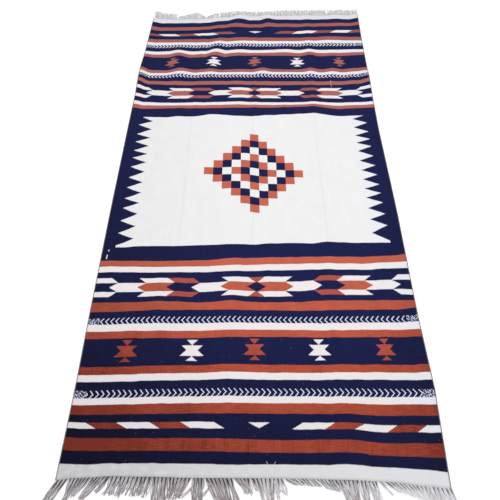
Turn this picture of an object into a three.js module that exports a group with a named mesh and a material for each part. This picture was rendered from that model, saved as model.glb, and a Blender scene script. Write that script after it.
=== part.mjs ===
// Flat-woven cotton dhurrie rug, 4 by 8 feet, lying open on a floor.
//
// It is three pieces: the woven cloth, and the fringe of warp yarn at its near
// end and at its far end. The cloth lies flat for most of its length. Towards
// the far end it is rucked up in low ridges that run lengthwise, and the fringe
// there follows the raised edge. The near fringe is swept about in locks.
//
// Units are millimetres, +Z up. X runs across the rug and Y along it, with the
// near end at -Y. The origin is on the floor, under the middle of the rug.

import * as THREE from 'three';

// Driving dimensions of the woven cloth
const WIDTH = 1220;
const LENGTH = 2440;
const THICKNESS = 3;

// Driving dimensions of the fringe
const HEADING_WIDTH = 8;
const HEADING_GAP = 0.3;
const STRAND_PITCH = 12.7;
const STRAND_FILL = 0.72;
const STRAND_TIP_FILL = 0.4;
const STRAND_TIP_THICKNESS = 1.8;
const LONGEST_STRAND = 84;
const ROOTS_LIE_DOWN_AT = 42;

// The grid that the cloth is built on: even columns, with close rows only where it is rucked
const COLUMNS = 48;
const FLAT_ROWS = [0, 120, 290, 560, 1010, 1500];
const RUCKED_FROM = 1700;
const RUCKED_ROWS = 20;

// How far the two selvedges stand outside straight lines half the width from the middle
const SELVEDGES = [
  { along: 0, left: 2, right: -2 },
  { along: 290, left: 2, right: 10 },
  { along: 560, left: 7, right: 3 },
  { along: 1010, left: 12, right: 4 },
  { along: 1500, left: 15, right: -4 },
  { along: 1865, left: 15, right: -1 },
  { along: 2180, left: 9, right: 1 },
  { along: 2440, left: 2, right: 1 },
];

// How far the two woven ends are drawn in from the full length
const ENDS = [
  { across: -610, near: -3, far: 14 },
  { across: -560, near: 4, far: 28 },
  { across: -430, near: 11, far: 31 },
  { across: -300, near: 12, far: 30 },
  { across: -200, near: 11, far: 12 },
  { across: -150, near: 11, far: 2 },
  { across: 0, near: 14, far: 4 },
  { across: 240, near: 17, far: 0 },
  { across: 420, near: 12, far: 0 },
  { across: 540, near: 3, far: 0 },
  { across: 610, near: -3, far: 0 },
];

// The stretches of the cloth that give way to its drawn-in ends
const NEAR_GIVES_TO = 260;
const FAR_GIVES_FROM = 2000;
const FAR_GIVES_TO = 2340;

// Low ridges in the cloth. Each runs from one point to another and is highest in
// between. One with openEnd runs out over the far end instead, still at its height.
// Along is measured from the near end, and spread is half the width at the foot.
const RIDGES = [
  { fromX: -410, fromAlong: 1790, toX: -428, toAlong: 2210, height: 16, spread: 68, openEnd: false },
  { fromX: -262, fromAlong: 1790, toX: -180, toAlong: 2340, height: 15, spread: 66, openEnd: false },
  { fromX: -150, fromAlong: 2240, toX: -85, toAlong: 2440, height: 12, spread: 72, openEnd: true },
  { fromX: 60, fromAlong: 1800, toX: 20, toAlong: 2090, height: 9, spread: 60, openEnd: false },
  { fromX: 100, fromAlong: 2190, toX: 72, toAlong: 2440, height: 10, spread: 54, openEnd: true },
  { fromX: 305, fromAlong: 1790, toX: 300, toAlong: 2260, height: 6, spread: 52, openEnd: false },
  { fromX: 412, fromAlong: 1780, toX: 430, toAlong: 2140, height: 12, spread: 60, openEnd: false },
  { fromX: 490, fromAlong: 2250, toX: 480, toAlong: 2440, height: 4, spread: 58, openEnd: true },
  { fromX: 620, fromAlong: 2180, toX: 620, toAlong: 2440, height: 10, spread: 66, openEnd: true },
  { fromX: -622, fromAlong: 1740, toX: -622, toAlong: 2130, height: 13, spread: 60, openEnd: false },
  { fromX: 620, fromAlong: 1720, toX: 620, toAlong: 1980, height: 8, spread: 54, openEnd: false },
];

// The locks of the near fringe, from left to right. Each takes the yarn between two
// places on the edge and gathers its tips between two others. Reach is how far the
// tips end in front of the woven edge, at the lock's first and last yarn.
const NEAR_LOCKS = [
  { root: [-608, -572], tip: [-655, -622], reach: [74, 70] },
  { root: [-572, -500], tip: [-583, -546], reach: [62, 46] },
  { root: [-500, -452], tip: [-532, -512], reach: [60, 54] },
  { root: [-452, -440], tip: [-486, -476], reach: [44, 42] },
  { root: [-440, -312], tip: [-460, -322], reach: [50, 54] },
  { root: [-312, -262], tip: [-306, -266], reach: [82, 80] },
  { root: [-262, -186], tip: [-260, -222], reach: [60, 54] },
  { root: [-186, -152], tip: [-186, -152], reach: [80, 78] },
  { root: [-152, -62], tip: [-100, -32], reach: [84, 82] },
  { root: [-62, -8], tip: [-16, 2], reach: [44, 40] },
  { root: [-8, 6], tip: [12, 20], reach: [38, 34] },
  { root: [6, 74], tip: [40, 66], reach: [80, 76] },
  { root: [74, 84], tip: [80, 88], reach: [62, 56] },
  { root: [84, 92], tip: [100, 108], reach: [42, 38] },
  { root: [92, 190], tip: [128, 214], reach: [18, 21] },
  { root: [190, 262], tip: [230, 274], reach: [24, 34] },
  { root: [262, 330], tip: [296, 326], reach: [84, 80] },
  { root: [330, 352], tip: [338, 360], reach: [78, 72] },
  { root: [352, 384], tip: [374, 394], reach: [60, 46] },
  { root: [384, 398], tip: [424, 432], reach: [40, 36] },
  { root: [398, 440], tip: [440, 478], reach: [26, 30] },
  { root: [440, 480], tip: [484, 518], reach: [34, 36] },
  { root: [480, 545], tip: [520, 551], reach: [38, 44] },
  { root: [545, 608], tip: [562, 632], reach: [74, 70] },
];

// The locks of the far fringe, which lies nearly straight
const FAR_LOCKS = [
  { root: [-608, -470], tip: [-616, -475], reach: [76, 58] },
  { root: [-466, -350], tip: [-460, -350], reach: [34, 76] },
  { root: [-350, -296], tip: [-350, -304], reach: [74, 34] },
  { root: [-296, -219], tip: [-290, -222], reach: [36, 56] },
  { root: [-215, -100], tip: [-214, -104], reach: [56, 62] },
  { root: [-100, 8], tip: [-98, 2], reach: [62, 52] },
  { root: [8, 76], tip: [14, 78], reach: [52, 58] },
  { root: [76, 250], tip: [80, 246], reach: [56, 62] },
  { root: [250, 430], tip: [252, 424], reach: [62, 60] },
  { root: [430, 608], tip: [436, 616], reach: [60, 62] },
];

// Places along a strand, as shares of its way from the heading to its tip
const STRAND_STEPS = [0, 0.3, 0.6, 0.85, 1];

function mix(from, to, share) {
  return from + (to - from) * share;
}

// Reads one column of a table at a place between its rows
function readTable(table, placeColumn, valueColumn, place) {
  const last = table[table.length - 1];
  if (place <= table[0][placeColumn]) return table[0][valueColumn];
  if (place >= last[placeColumn]) return last[valueColumn];
  const next = table.findIndex((row) => row[placeColumn] > place);
  const low = table[next - 1];
  const high = table[next];
  const share = (place - low[placeColumn]) / (high[placeColumn] - low[placeColumn]);
  return mix(low[valueColumn], high[valueColumn], share);
}

// The height of one ridge's underside above the floor: a rounded section whose
// height swells from nothing at one end of its line to the full height
function ridgeHeight(ridge, x, y) {
  const along = y + LENGTH / 2;
  const share = (along - ridge.fromAlong) / (ridge.toAlong - ridge.fromAlong);
  if (share <= 0 || share > 1) return 0;
  const offset = (x - mix(ridge.fromX, ridge.toX, share)) / ridge.spread;
  if (Math.abs(offset) >= 1) return 0;
  const swell = Math.sin(Math.PI * share * (ridge.openEnd ? 0.5 : 1));
  return ridge.height * swell * swell * (0.5 + 0.5 * Math.cos(Math.PI * offset));
}

function undersideHeight(x, y) {
  return RIDGES.reduce((sum, ridge) => sum + ridgeHeight(ridge, x, y), 0);
}

// The Y of a weft thread at a place across the rug. Most lie straight across, and
// those towards the ends bend into the shape of the woven edges.
function weftY(x, along) {
  const nearShare = Math.max(0, 1 - along / NEAR_GIVES_TO);
  const farShare = THREE.MathUtils.smoothstep(along, FAR_GIVES_FROM, FAR_GIVES_TO);
  const nearShift = readTable(ENDS, 'across', 'near', x) * nearShare * nearShare;
  const farShift = readTable(ENDS, 'across', 'far', x) * farShare;
  return along - LENGTH / 2 + nearShift - farShift;
}

// A point of the cloth's underside, from its share of the way across and its place along
function clothPoint(acrossShare, along) {
  const left = -WIDTH / 2 - readTable(SELVEDGES, 'along', 'left', along);
  const right = WIDTH / 2 + readTable(SELVEDGES, 'along', 'right', along);
  const x = mix(left, right, acrossShare);
  const y = weftY(x, along);
  return { x, y, z: undersideHeight(x, y), thickness: THICKNESS };
}

// A closed sheet. It takes the points of its underside, its cells of four points each,
// and the loop of points round its rim, both anticlockwise as seen from above.
function sheetGeometry(points, cells, rim) {
  const lower = points.flatMap((point) => [point.x, point.y, point.z]);
  const upper = points.flatMap((point) => [point.x, point.y, point.z + point.thickness]);
  const up = points.length;
  const faces = [];
  for (const [a, b, c, d] of cells) {
    faces.push(a, d, b, b, d, c);
    faces.push(a + up, b + up, d + up, b + up, c + up, d + up);
  }
  rim.forEach((here, place) => {
    const next = rim[(place + 1) % rim.length];
    faces.push(here, next, next + up, here, next + up, here + up);
  });

  const geometry = new THREE.BufferGeometry();
  geometry.setAttribute('position', new THREE.Float32BufferAttribute([...lower, ...upper], 3));
  geometry.setIndex(faces);
  geometry.computeVertexNormals();
  return geometry;
}

// The cloth, on a grid of columns and rows
function clothGeometry() {
  const rows = [...FLAT_ROWS];
  for (let step = 0; step <= RUCKED_ROWS; step += 1) {
    rows.push(mix(RUCKED_FROM, LENGTH, step / RUCKED_ROWS));
  }
  const points = [];
  for (const along of rows) {
    for (let column = 0; column <= COLUMNS; column += 1) {
      points.push(clothPoint(column / COLUMNS, along));
    }
  }

  const perRow = COLUMNS + 1;
  const lastRow = (rows.length - 1) * perRow;
  const cells = [];
  for (let row = 0; row < lastRow; row += perRow) {
    for (let corner = row; corner < row + COLUMNS; corner += 1) {
      cells.push([corner, corner + 1, corner + perRow + 1, corner + perRow]);
    }
  }

  const rim = [];
  for (let column = 0; column < COLUMNS; column += 1) rim.push(column);
  for (let row = 0; row < lastRow; row += perRow) rim.push(row + COLUMNS);
  for (let column = COLUMNS; column > 0; column -= 1) rim.push(lastRow + column);
  for (let row = lastRow; row > 0; row -= perRow) rim.push(row);
  return sheetGeometry(points, cells, rim);
}

// The woven edge at a place across the rug, on the straight run between two columns
function edgePoint(x, along) {
  const left = clothPoint(0, along).x;
  const right = clothPoint(1, along).x;
  const place = THREE.MathUtils.clamp((x - left) / (right - left), 0, 1) * COLUMNS;
  const column = Math.min(COLUMNS - 1, Math.floor(place));
  const low = clothPoint(column / COLUMNS, along);
  const high = clothPoint((column + 1) / COLUMNS, along);
  return { y: mix(low.y, high.y, place - column), z: mix(low.z, high.z, place - column) };
}

// A point of a fringe's underside, out in front of the woven edge. It starts at the
// edge's height and comes down to the floor, and it is thinner towards the tips.
function fringePoint(x, out, along, away) {
  const edge = edgePoint(x, along);
  const down = THREE.MathUtils.smoothstep(out, HEADING_WIDTH, ROOTS_LIE_DOWN_AT);
  const thickness = mix(THICKNESS, STRAND_TIP_THICKNESS, out / LONGEST_STRAND);
  return { x, y: edge.y + away * out, z: edge.z * (1 - down), thickness };
}

// The strands of one lock. Each is a list of places from the heading to its tip, with
// its left and right sides there and how far out it has come.
function lockStrands(lock) {
  const rootWidth = lock.root[1] - lock.root[0];
  const count = Math.round(rootWidth / STRAND_PITCH);
  const gather = Math.min(1, (lock.tip[1] - lock.tip[0]) / rootWidth);
  return Array.from({ length: count }, (_, strand) => {
    const share = (strand + 0.5) / count;
    const rootX = mix(lock.root[0], lock.root[1], share);
    const tipX = mix(lock.tip[0], lock.tip[1], share);
    const reach = mix(lock.reach[0], lock.reach[1], share);
    return STRAND_STEPS.map((step) => {
      const sweep = step * mix(0.6, 1, step);
      const spacing = (rootWidth / count) * mix(1, gather, sweep);
      const halfWidth = (spacing * mix(STRAND_FILL, STRAND_TIP_FILL, step)) / 2;
      const x = mix(rootX, tipX, sweep);
      return { left: x - halfWidth, right: x + halfWidth, out: mix(HEADING_WIDTH, reach, step) };
    });
  });
}

// The fringe at one end: a heading, which is a narrow strip beside the woven edge, and
// the strands that leave it. Away is -1 at the near end and 1 at the far one.
function fringeGeometry(locks, along, away) {
  const points = [];
  const cells = [];
  const posts = [];
  const addPoint = (x, out) => points.push(fringePoint(x, out, along, away)) - 1;
  const addPost = (x) => {
    const post = { back: addPoint(x, HEADING_GAP), front: addPoint(x, HEADING_WIDTH) };
    const last = posts[posts.length - 1];
    if (last) cells.push([last.back, post.back, post.front, last.front]);
    posts.push(post);
    return post.front;
  };

  const front = [addPost(clothPoint(0, along).x)];
  for (const strand of locks.flatMap(lockStrands)) {
    const lefts = [addPost(strand[0].left)];
    const rights = [addPost(strand[0].right)];
    for (const side of strand.slice(1)) {
      const left = addPoint(side.left, side.out);
      const right = addPoint(side.right, side.out);
      cells.push([lefts[lefts.length - 1], rights[rights.length - 1], right, left]);
      lefts.push(left);
      rights.push(right);
    }
    front.push(...lefts, ...rights.reverse());
  }
  front.push(addPost(clothPoint(1, along).x));

  // At the near end the strands run towards -Y, which turns the cells over and leaves
  // the rim the right way round
  const rim = [...front, ...posts.map((post) => post.back).reverse()];
  if (away < 0) cells.forEach((cell) => cell.reverse());
  else rim.reverse();
  return sheetGeometry(points, cells, rim);
}

function mesh(name, geometry, material) {
  const piece = new THREE.Mesh(geometry, material);
  piece.name = name;
  return piece;
}

const wovenCotton = new THREE.MeshStandardMaterial({ color: 0xe8e5e1, roughness: 0.95, metalness: 0 });
const warpYarn = new THREE.MeshStandardMaterial({ color: 0xc3bbb6, roughness: 0.97, metalness: 0 });

const rug = new THREE.Group();
rug.add(mesh('woven_cloth', clothGeometry(), wovenCotton));
rug.add(mesh('fringe_near', fringeGeometry(NEAR_LOCKS, 0, -1), warpYarn));
rug.add(mesh('fringe_far', fringeGeometry(FAR_LOCKS, LENGTH, 1), warpYarn));

export default rug;
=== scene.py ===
# A flat-woven cotton dhurrie rug, 4 by 8 feet, lying open on a pale floor.
#
# The frame holds the rug's three solids: the cloth and the two fringes. Here they become
# one web of weft-faced cotton in white, navy and rust, its two corded selvedges, the loose
# warp yarn at both ends, and a few threads that have worked out of the weave.
#
# Lengths are metres. X runs across the rug from its middle, and Y along it. In the tables,
# "along" is the place along the rug from the near end of its full length, so Y = 0 is at
# half the length.

import math
import random

import bmesh
import bpy
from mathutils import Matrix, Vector, noise


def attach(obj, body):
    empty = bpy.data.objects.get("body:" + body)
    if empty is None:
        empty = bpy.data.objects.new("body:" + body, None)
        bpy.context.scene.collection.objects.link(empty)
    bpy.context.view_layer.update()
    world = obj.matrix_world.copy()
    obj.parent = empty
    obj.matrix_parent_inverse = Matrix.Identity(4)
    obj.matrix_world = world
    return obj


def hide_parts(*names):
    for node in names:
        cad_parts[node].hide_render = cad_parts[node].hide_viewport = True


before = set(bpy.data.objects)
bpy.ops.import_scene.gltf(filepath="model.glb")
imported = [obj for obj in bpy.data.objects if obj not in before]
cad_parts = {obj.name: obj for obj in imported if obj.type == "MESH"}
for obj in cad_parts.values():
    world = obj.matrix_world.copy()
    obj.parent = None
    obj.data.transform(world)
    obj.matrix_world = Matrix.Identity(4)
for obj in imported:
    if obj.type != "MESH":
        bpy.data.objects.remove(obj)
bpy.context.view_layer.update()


# The woven cloth: one web of cotton, its weft beaten down over a fine warp so that only the
# weft's three colours show, in ribs that run lengthwise. It lies flat but for low ridges
# near the far end, and it is the same on both faces.
CLOTH_WIDTH = 1.220
CLOTH_LENGTH = 2.440
CLOTH_THICKNESS = 0.003
FIRST_PICK = 0.014
LAST_PICK = 2.436
CLOTH_GRID = 0.009

# How far the two selvedges stand outside straight lines: along, left, right
SELVEDGES = (
    (0.000, 0.002, -0.002),
    (0.290, 0.002, 0.010),
    (0.560, 0.007, 0.003),
    (1.010, 0.012, 0.004),
    (1.500, 0.015, -0.004),
    (1.865, 0.015, -0.001),
    (2.180, 0.009, 0.001),
    (2.440, 0.002, 0.001),
)

# How much further along each weft thread lies than it does at mid-width: the places across,
# and then, for places along, what each has there in millimetres
ACROSS = (
    -0.610, -0.545, -0.430, -0.365, -0.300, -0.200, -0.070, 0.000,
    0.070, 0.175, 0.240, 0.300, 0.430, 0.545, 0.610,
)
WEFT_BENDS = (
    (0.014, (-17, -10, -3, -3, -2, -3, -1, 0, 1, 2, 1, 1, -2, -12, -17)),
    (0.052, (-8, -11, -5, -3, -2, -1, -1, 0, 2, 3, 4, 7, 0, -3, -10)),
    (0.105, (-2, -4, -3, -2, -1, 1, 1, 0, -1, 1, 4, 5, -4, -3, -2)),
    (0.218, (-16, -15, -11, -8, -6, -3, 0, 0, 1, 3, 3, 5, 2, 5, 5)),
    (0.336, (-19, -18, -14, -10, -8, -5, 2, 0, 0, 1, 2, 5, 7, 7, 12)),
    (0.476, (-16, -14, -10, -8, -8, -7, 0, 0, 2, 3, 1, 3, 6, 8, 11)),
    (0.565, (-16, -14, -8, -2, -3, 0, 2, 0, 1, 0, 2, 4, 8, 10, 19)),
    (0.598, (-9, -8, -5, 1, -1, -4, 8, 0, 1, 3, 10, 11, 14, 15, 15)),
    (0.742, (-12, -11, -11, -10, -9, -7, 0, 0, 4, 6, 10, 11, 10, 19, 21)),
    (0.787, (-19, -18, -18, -18, -16, -13, 0, 0, 4, 6, 9, 9, 10, 16, 25)),
    (0.851, (-19, -18, -10, -9, -9, -4, 3, 0, 6, 10, 8, 16, 13, 14, 14)),
    (1.237, (-9, -8, -5, -4, -3, -1, 0, 0, 1, 2, 3, 3, 4, 4, 4)),
    (1.590, (0, -4, -6, 2, -2, 15, 4, 0, 9, 14, 20, 22, 2, 7, 13)),
    (1.647, (2, -10, -5, -2, -6, -3, -1, 0, -1, 4, 8, 10, -10, -3, 1)),
    (1.685, (16, 1, -4, -3, -3, 1, 6, 0, -1, -1, 0, 3, -4, 0, 7)),
    (1.835, (32, 9, 2, 1, 0, 4, 5, 0, -2, -1, 0, -2, -2, 10, 24)),
    (1.903, (8, -5, -2, 2, -4, 1, 2, 0, 0, 3, 0, -2, -10, 0, 12)),
    (1.938, (14, -2, -4, 7, 1, 0, 5, 0, 5, 0, 0, 5, -4, 10, 17)),
    (2.058, (-8, -13, -16, -15, -15, -15, 1, 0, -1, -2, -6, -5, -11, -1, 5)),
    (2.100, (-1, -8, -3, -7, -8, -2, 10, 0, 4, 11, 2, 2, 1, 6, 6)),
    (2.214, (-4, -11, -12, -10, -13, -10, 5, 0, 0, -4, -3, -3, 9, 1, 0)),
    (2.316, (-16, -27, -25, -23, -20, -2, 4, 0, 1, 7, 2, 5, 9, 11, 14)),
    (2.376, (-6, -23, -22, -20, -24, -2, 8, 0, 9, 10, 6, 5, 9, 8, 8)),
    (2.436, (-10, -24, -27, -26, -26, -8, -2, 0, 1, 3, 4, 4, 4, 4, 4)),
)
MM_PER_METRE = 1000

# Low ridges: from across and along, to across and along, height, half the width at the
# foot, and whether the ridge runs out over the far end at its full height
RIDGES = (
    (-0.410, 1.790, -0.428, 2.210, 0.016, 0.068, False),
    (-0.262, 1.790, -0.180, 2.340, 0.015, 0.066, False),
    (-0.150, 2.240, -0.085, 2.440, 0.012, 0.072, True),
    (0.060, 1.800, 0.020, 2.090, 0.009, 0.060, False),
    (0.100, 2.190, 0.072, 2.440, 0.010, 0.054, True),
    (0.305, 1.790, 0.300, 2.260, 0.006, 0.052, False),
    (0.412, 1.780, 0.430, 2.140, 0.012, 0.060, False),
    (0.490, 2.250, 0.480, 2.440, 0.004, 0.058, True),
    (0.620, 2.180, 0.620, 2.440, 0.010, 0.066, True),
    (-0.622, 1.740, -0.622, 2.130, 0.013, 0.060, False),
    (0.620, 1.720, 0.620, 1.980, 0.008, 0.054, False),
)

# Soft creases left by folding the rug lengthwise: across, height, half the width
FOLD_CREASES = ((-0.300, 0.0024, 0.022), (0.002, 0.0018, 0.020), (0.305, 0.0028, 0.022))
CREASE_SWAY = 0.004
SLACK_HEIGHT = 0.0007


def mix(start, end, share):
    return start + (end - start) * share


def ease(share):
    share = min(1, max(0, share))
    return share * share * (3 - 2 * share)


def read_table(table, column, place):
    """One column of a table at a place between its rows, which start with their places"""
    if place <= table[0][0]:
        return table[0][column]
    for low, high in zip(table, table[1:]):
        if place <= high[0]:
            return mix(low[column], high[column], (place - low[0]) / (high[0] - low[0]))
    return table[-1][column]


def bend_of_row(bends, across):
    for place in range(len(ACROSS) - 1):
        if across <= ACROSS[place + 1]:
            break
    share = (across - ACROSS[place]) / (ACROSS[place + 1] - ACROSS[place])
    return mix(bends[place] / MM_PER_METRE, bends[place + 1] / MM_PER_METRE, ease(share))


def weft_bend(across, along):
    if along <= WEFT_BENDS[0][0]:
        return bend_of_row(WEFT_BENDS[0][1], across)
    for low, high in zip(WEFT_BENDS, WEFT_BENDS[1:]):
        if along <= high[0]:
            break
    share = (along - low[0]) / (high[0] - low[0])
    return mix(bend_of_row(low[1], across), bend_of_row(high[1], across), min(1, share))


def ridge_height(x, along):
    height = 0
    for from_x, from_along, to_x, to_along, top, spread, runs_out in RIDGES:
        share = (along - from_along) / (to_along - from_along)
        if not 0 < share <= 1:
            continue
        offset = (x - mix(from_x, to_x, share)) / spread
        if abs(offset) < 1:
            swell = math.sin(math.pi * share * (0.5 if runs_out else 1))
            height += top * swell**2 * (0.5 + 0.5 * math.cos(math.pi * offset))
    return height


def cloth_point(across, along):
    """The cloth's underside, at a place across and along in its weave"""
    seen_along = along + weft_bend(across, along)
    left = -CLOTH_WIDTH / 2 - read_table(SELVEDGES, 1, seen_along)
    right = CLOTH_WIDTH / 2 + read_table(SELVEDGES, 2, seen_along)
    x = mix(left, right, across / CLOTH_WIDTH + 0.5)
    return Vector((x, seen_along - CLOTH_LENGTH / 2, ridge_height(x, seen_along)))


def slack(x, along):
    """The cloth's small unevenness: its fold creases, and where it lies a little slack"""
    height = SLACK_HEIGHT * (1 + noise.noise(Vector((x * 7, along * 4, 0.5))))
    for crease, top, spread in FOLD_CREASES:
        sway = CREASE_SWAY * math.sin(along * 5 + crease * 9)
        height += top * math.exp(-(((x - crease - sway) / spread) ** 2))
    return height


def cloth_piece():
    mesh = bmesh.new()
    weave = mesh.loops.layers.uv.new("weave")
    columns = round(CLOTH_WIDTH / CLOTH_GRID)
    rows = round(CLOTH_LENGTH / CLOTH_GRID)
    bmesh.ops.create_grid(mesh, x_segments=columns, y_segments=rows, size=0.5)
    places = {}
    for vertex in mesh.verts:
        across = vertex.co.x * CLOTH_WIDTH
        along = mix(FIRST_PICK, LAST_PICK, vertex.co.y + 0.5)
        places[vertex] = (across, along)
    for face in mesh.faces:
        for loop in face.loops:
            loop[weave].uv = places[loop.vert]
    for vertex, (across, along) in places.items():
        vertex.co = cloth_point(across, along)
        vertex.co.z += CLOTH_THICKNESS + slack(vertex.co.x, along)
    bmesh.ops.recalc_face_normals(mesh, faces=mesh.faces)
    if next(iter(mesh.faces)).normal.z < 0:
        bmesh.ops.reverse_faces(mesh, faces=mesh.faces)
    return mesh


def put_in_scene(name, data):
    """Makes an object of a mesh, a lamp or a camera"""
    made = bpy.data.objects.new(name, data)
    bpy.context.collection.objects.link(made)
    return made


def mesh_object(name, mesh):
    data = bpy.data.meshes.new(name)
    mesh.to_mesh(data)
    mesh.free()
    return put_in_scene(name, data)


cloth = mesh_object("woven_rug", cloth_piece())
for polygon in cloth.data.polygons:
    polygon.use_smooth = True
web = cloth.modifiers.new("web", "SOLIDIFY")
web.thickness = CLOTH_THICKNESS
web.offset = -1


# The Mix node's colour sockets go by number, because its other sockets share their names
FIRST_COLOUR, SECOND_COLOUR, MIXED_COLOUR = 6, 7, 2


class Socket:
    """A socket of a material's nodes. Operators on it add Math nodes to the material."""

    def __init__(self, tree, socket=None):
        self.tree = tree
        self.socket = socket

    def node(self, kind, settings, values, output=0):
        """Adds any other node: its type, its settings, and its sockets' values or links"""
        made = self.tree.nodes.new(kind)
        for name, setting in settings.items():
            setattr(made, name, setting)
        for name, value in values.items():
            if isinstance(value, Socket):
                self.tree.links.new(value.socket, made.inputs[name])
            else:
                made.inputs[name].default_value = value
        return Socket(self.tree, made.outputs[output])

    def math(self, operation, *values):
        return self.node("ShaderNodeMath", {"operation": operation}, dict(enumerate(values)))

    def __add__(self, other):
        return self.math("ADD", self, other)

    def __radd__(self, other):
        return self.math("ADD", other, self)

    def __sub__(self, other):
        return self.math("SUBTRACT", self, other)

    def __rsub__(self, other):
        return self.math("SUBTRACT", other, self)

    def __mul__(self, other):
        return self.math("MULTIPLY", self, other)

    def __rmul__(self, other):
        return self.math("MULTIPLY", other, self)

    def __truediv__(self, other):
        return self.math("DIVIDE", self, other)

    def __mod__(self, other):
        return self.math("MODULO", self, other)

    def __lt__(self, other):
        return self.math("LESS_THAN", self, other)

    def __gt__(self, other):
        return self.math("GREATER_THAN", self, other)

    def __abs__(self):
        return self.math("ABSOLUTE", self)

    def fraction(self):
        return self.math("FRACT", self)

    def rounded(self):
        return self.math("ROUND", self)

    def sine(self):
        return self.math("SINE", self)

    def within(self, low, high):
        """1 between low and high, and 0 outside them"""
        return (self > low) * (self < high)

    def between(self, low, high):
        """Goes from 0 at low to 1 at high, and stays there"""
        values = {"Value": self, "From Min": low, "From Max": high}
        return self.node("ShaderNodeMapRange", {"clamp": True}, values)

    def blend(self, first, second):
        """A colour between two, at this socket's share of the way"""
        values = {"Factor": self, FIRST_COLOUR: first, SECOND_COLOUR: second}
        return self.node("ShaderNodeMix", {"data_type": "RGBA"}, values, MIXED_COLOUR)

    def noise(self, vector, scale, detail):
        values = {"Vector": vector, "Scale": scale, "Detail": detail}
        return self.node("ShaderNodeTexNoise", {}, values)

    def grain(self, along, fine_across, fine_along, layer, detail):
        """Noise over a place across and one along, each with its own fineness"""
        values = {"X": self * fine_across, "Y": along * fine_along, "Z": layer}
        return self.noise(self.node("ShaderNodeCombineXYZ", {}, values), 1, detail)

    def ridges(self, pitch):
        """Round ridges from 0 to 1, one to each pitch, with a groove between two"""
        return abs((self * (math.pi / pitch)).sine())

    def waves(self, pitch):
        """Even waves from 0 to 1, one to each pitch"""
        return ((self * (2 * math.pi / pitch)).sine() + 1) * 0.5

    def axis(self, number):
        """One of the three numbers of a vector"""
        return self.node("ShaderNodeSeparateXYZ", {}, {"Vector": self}, number)

    def attribute(self, name):
        """A number that each point of the mesh carries"""
        return self.node("ShaderNodeAttribute", {"attribute_name": name}, {}, "Fac")

    def object_place(self):
        return self.node("ShaderNodeTexCoord", {}, {}, "Object")


def new_material(name):
    material = bpy.data.materials.new(name)
    material.use_nodes = True
    return material, material.node_tree.nodes["Principled BSDF"], Socket(material.node_tree)


def dyed(red, green, blue):
    """A colour from its values on a screen, which run from 0 to 255"""
    linear = [(value / 255 + 0.055) / 1.055 for value in (red, green, blue)]
    return tuple(value**2.4 for value in linear) + (1,)


def finish_surface(nodes, surface, colour, sheen, relief=None):
    """The sheen is a roughness and a gloss, and the relief a height, a strength and a depth"""
    nodes.tree.links.new(colour.socket, surface.inputs["Base Color"])
    for name, value in zip(("Roughness", "Specular IOR Level"), sheen):
        surface.inputs[name].default_value = value
    if relief:
        height, strength, depth = relief
        values = {"Height": height, "Strength": strength, "Distance": depth}
        normal = nodes.node("ShaderNodeBump", {}, values)
        nodes.tree.links.new(normal.socket, surface.inputs["Normal"])


# The dyes are numbered, so that the pattern is worked out in numbers and coloured last
WHITE, NAVY, RUST = 0, 1, 2
DYE_COUNT = 3

# Where each stripe starts, from the near end to the far end
STRIPES = (
    (0.051, NAVY), (0.086, RUST), (0.123, NAVY), (0.201, RUST), (0.234, WHITE), (0.256, NAVY),
    (0.311, WHITE), (0.335, RUST), (0.362, NAVY), (0.461, RUST), (0.488, WHITE), (0.5145, NAVY),
    (0.564, RUST), (0.596, NAVY), (0.728, WHITE), (0.755, RUST), (0.786, NAVY), (0.849, WHITE),
    (1.588, NAVY), (1.651, RUST), (1.671, WHITE), (1.690, NAVY), (1.821, RUST), (1.849, NAVY),
    (1.904, WHITE), (1.922, RUST), (1.945, NAVY), (2.063, RUST), (2.086, WHITE), (2.110, NAVY),
    (2.169, WHITE), (2.194, RUST), (2.226, NAVY), (2.322, RUST), (2.352, NAVY), (2.393, WHITE),
)
FIELD = (0.849, 1.588)
HALFWAY = 1.200


def lay_over(ground, motif, where):
    """The motif's dye where it lies, and the ground's elsewhere"""
    return ground + where * (motif - ground)


def dye_by_steps(place, first, steps):
    """The first dye, and then each step's own from where it starts"""
    dye = first
    last = first
    for start, following in steps:
        dye = dye + (place > start) * (following - last)
        last = following
    return dye


def outline_at(place, outline):
    """Reads an outline of straight runs, given by its corners"""
    reach = outline[0][1]
    for (low, low_reach), (high, high_reach) in zip(outline, outline[1:]):
        if high_reach != low_reach:
            reach = reach + place.between(low, high) * (high_reach - low_reach)
    return reach


def by_half(far_half, near_and_far):
    """The near value in the rug's near half, and the far one in its far half"""
    near, far = near_and_far
    return near + far_half * (far - near)


# Rows of white arrowheads on navy: start, end, 1 where they point right or -1 left, and
# the white's share of the row. They lose their shape in the last few ribs before each
# selvedge, beyond their reach.
ARROW_ROWS = (
    (0.256, 0.281, 1, 0.23),
    (0.5145, 0.5385, -1, 0.24),
    (1.880, 1.906, -1, 0.38),
    (2.143, 2.169, 1, 0.42),
)
ARROW_PITCH = 0.0188
ARROW_LEAN = 0.9
ARROW_REACH = 0.566
BROKEN_GRAIN = (210, 230, 0, 1)
BROKEN_FROM = 0.54


def lay_arrowheads(dye, across, along):
    broken = across.grain(along, *BROKEN_GRAIN) > BROKEN_FROM
    shaped = abs(across) < ARROW_REACH
    for start, end, points_to, share in ARROW_ROWS:
        off = abs(along - (start + end) / 2)
        stroke = ((across + off * (ARROW_LEAN * points_to)) / ARROW_PITCH).fraction() < share
        stroke = lay_over(broken, stroke, shaped)
        dye = lay_over(dye, WHITE, stroke * (off < (end - start) / 2))
    return dye


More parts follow.
